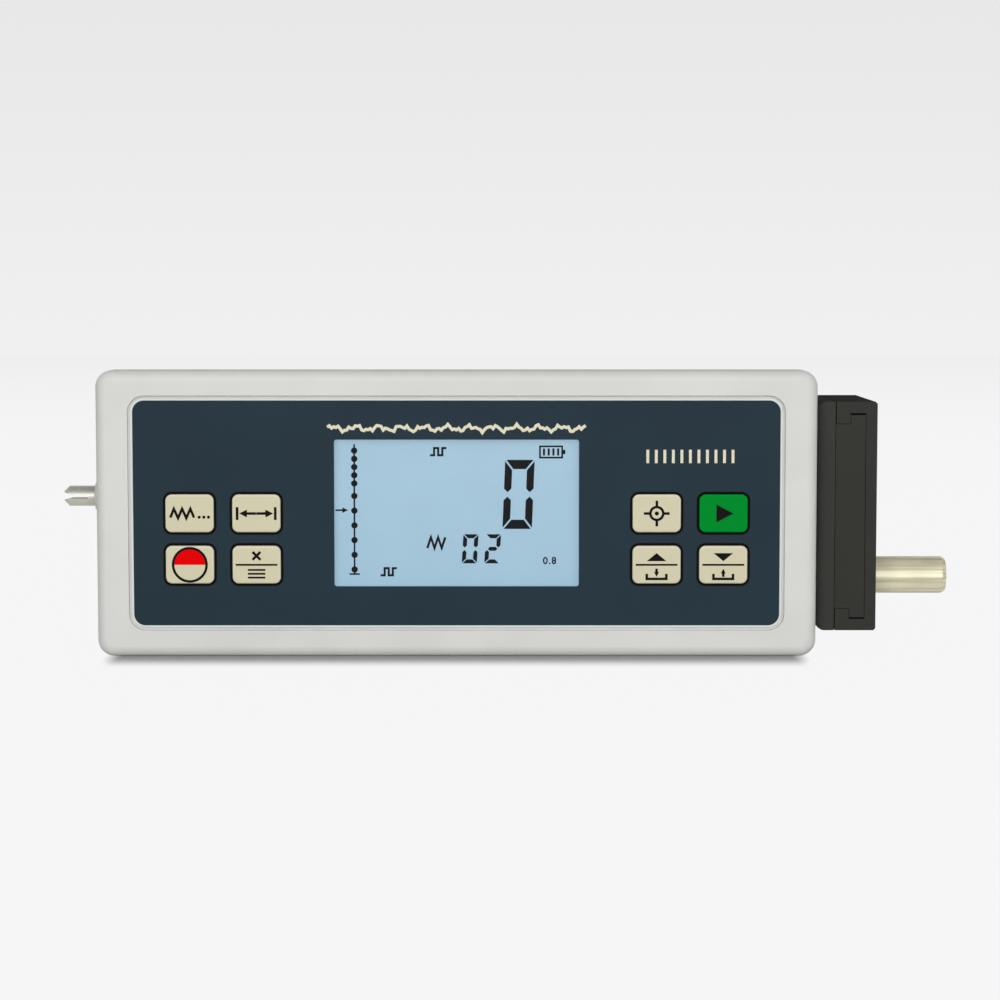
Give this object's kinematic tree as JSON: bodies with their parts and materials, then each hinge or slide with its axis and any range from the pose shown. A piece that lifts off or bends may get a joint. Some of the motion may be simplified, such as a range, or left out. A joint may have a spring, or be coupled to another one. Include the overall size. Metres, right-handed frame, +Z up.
{
  "type": "surface roughness tester",
  "caption": "Hand-held surface roughness tester: grey housing with keypad and display, a black T-slide end block, a motor-driven brass pickup tube and a slotted adjuster.",
  "frame": {"origin": "middle of the housing's base face", "axes": "+X along the housing towards the drive tube, -Y the display side, +Z up"},
  "size_m": [0.1786, 0.0482, 0.0557],
  "materials": {
    "case_plastic": "fine moulded texture",
    "panel_film": "satin printed film",
    "window_clear": "clear",
    "display_glass": "pale blue display",
    "white_plastic": "white moulded",
    "strip_rubber": "soft strip",
    "key_cream": "satin",
    "key_green": "satin",
    "black_plastic": "moulded",
    "slide_black": "fine moulded texture",
    "mat_rubber": "silicone",
    "board_green": "coated laminate",
    "screw_steel": "zinc plated",
    "cell_wrap": "plain sleeve",
    "contact_nickel": "nickel plated",
    "frame_aluminium": "cast and milled",
    "motor_steel": "ground",
    "bearing_bronze": "sintered",
    "tube_brass": "pale, drawn",
    "contact_gold": "gold plated",
    "trimmer_blue": "moulded",
    "spindle_steel": "turned"
  },
  "bodies": {
    "housing": {"front_shell": "case_plastic", "rear_shell": "case_plastic", "case_screws": "screw_steel", "front_panel": "panel_film", "display_window": "window_clear", "key_bezel_left": "black_plastic", "key_bezel_right": "black_plastic", "key_mat_left": "mat_rubber", "key_mat_right": "mat_rubber", "lcd_frame": "white_plastic", "lcd_glass": "display_glass", "lcd_backlight": "white_plastic", "lcd_connectors": "strip_rubber", "main_board": "board_green", "board_screws": "screw_steel", "processor_chip": "black_plastic", "amplifier_chip": "black_plastic", "motor_driver_chip": "black_plastic", "battery_cell_1": "cell_wrap", "battery_cell_2": "cell_wrap", "battery_cell_3": "cell_wrap", "battery_cell_4": "cell_wrap", "battery_springs": "contact_nickel", "battery_plates": "contact_nickel", "end_plate": "slide_black", "end_rail": "slide_black", "rail_screws": "screw_steel", "end_block": "slide_black", "drive_chassis": "frame_aluminium", "gear_motor": "motor_steel", "motor_screws": "screw_steel", "screw_bearings": "bearing_bronze", "guide_rod": "motor_steel", "tube_bush": "bearing_bronze", "limit_switches": "black_plastic", "trimmer": "trimmer_blue"},
    "drive": {"carriage": "black_plastic", "lead_nut": "bearing_bronze", "tube_set_screw": "screw_steel", "drive_tube": "tube_brass", "pickup_connector": "black_plastic", "connector_contacts": "contact_gold"},
    "lead": {"motor_shaft": "motor_steel", "shaft_coupling": "frame_aluminium", "coupling_screws": "screw_steel", "lead_screw": "motor_steel"},
    "adjuster": {"adjuster_spindle": "spindle_steel"},
    "door": {"battery_door": "case_plastic"},
    "key_parameter": {"key_parameter": "key_cream"},
    "key_cutoff": {"key_cutoff": "key_cream"},
    "key_power": {"key_power": "key_cream"},
    "key_menu": {"key_menu": "key_cream"},
    "key_calibrate": {"key_calibrate": "key_cream"},
    "key_start": {"key_start": "key_green"},
    "key_up": {"key_up": "key_cream"},
    "key_down": {"key_down": "key_cream"}
  },
  "joints": [
    {"name": "tube_traverse", "type": "slide", "parent": "housing", "child": "drive", "axis": [1, 0, 0], "range_m": [-0.0175, 0]},
    {"name": "lead_turn", "type": "hinge", "parent": "housing", "child": "lead", "pos_m": [0.045, 0, 0.0239], "axis": [1, 0, 0], "range_deg": [0, 3150]},
    {"name": "adjuster_turn", "type": "hinge", "parent": "housing", "child": "adjuster", "pos_m": [-0.07, 0.002, 0.0294], "axis": [1, 0, 0], "range_deg": [-135, 135]},
    {"name": "battery_door_swing", "type": "hinge", "parent": "housing", "child": "door", "pos_m": [-0.00751, 0.023, 0.0271], "axis": [0, 0, -1], "range_deg": [0, 85]},
    {"name": "key_parameter_press", "type": "slide", "parent": "housing", "child": "key_parameter", "axis": [0, 1, 0], "range_m": [0, 0.0007], "stiffness_N_per_m": 1500},
    {"name": "key_cutoff_press", "type": "slide", "parent": "housing", "child": "key_cutoff", "axis": [0, 1, 0], "range_m": [0, 0.0007], "stiffness_N_per_m": 1500},
    {"name": "key_power_press", "type": "slide", "parent": "housing", "child": "key_power", "axis": [0, 1, 0], "range_m": [0, 0.0007], "stiffness_N_per_m": 1500},
    {"name": "key_menu_press", "type": "slide", "parent": "housing", "child": "key_menu", "axis": [0, 1, 0], "range_m": [0, 0.0007], "stiffness_N_per_m": 1500},
    {"name": "key_calibrate_press", "type": "slide", "parent": "housing", "child": "key_calibrate", "axis": [0, 1, 0], "range_m": [0, 0.0007], "stiffness_N_per_m": 1500},
    {"name": "key_start_press", "type": "slide", "parent": "housing", "child": "key_start", "axis": [0, 1, 0], "range_m": [0, 0.0007], "stiffness_N_per_m": 1500},
    {"name": "key_up_press", "type": "slide", "parent": "housing", "child": "key_up", "axis": [0, 1, 0], "range_m": [0, 0.0007], "stiffness_N_per_m": 1500},
    {"name": "key_down_press", "type": "slide", "parent": "housing", "child": "key_down", "axis": [0, 1, 0], "range_m": [0, 0.0007], "stiffness_N_per_m": 1500}
  ],
  "couplings": [
    {"joint": "lead_turn", "follows": "tube_traverse", "rad_per_m": -3141.6}
  ]
}
